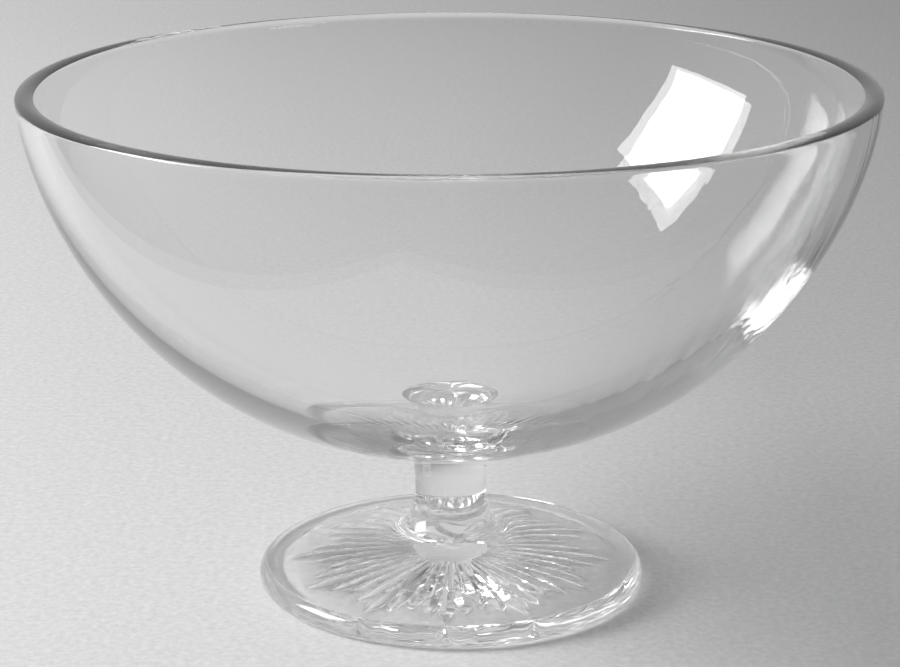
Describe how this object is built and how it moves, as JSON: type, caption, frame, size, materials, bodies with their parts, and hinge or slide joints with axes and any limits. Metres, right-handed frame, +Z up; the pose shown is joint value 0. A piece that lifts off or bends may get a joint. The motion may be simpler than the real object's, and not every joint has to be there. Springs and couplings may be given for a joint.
{
  "type": "trifle bowl",
  "caption": "Clear glass footed bowl for layered desserts: deep round bowl, short solid stem, and a thick disc foot with a star cut underneath.",
  "frame": {"origin": "middle of the foot's resting face, where the foot meets the table", "axes": "+Z up along the axis of the bowl, stem and foot; the object is round about Z, and +X runs 1.8 degrees beside one long ray of the star"},
  "size_m": [0.2398, 0.2398, 0.148],
  "materials": {
    "clear_glass": "colourless glass, polished smooth"
  },
  "bodies": {
    "root": {"bowl": "clear_glass", "stem": "clear_glass", "foot": "clear_glass"}
  },
  "joints": []
}
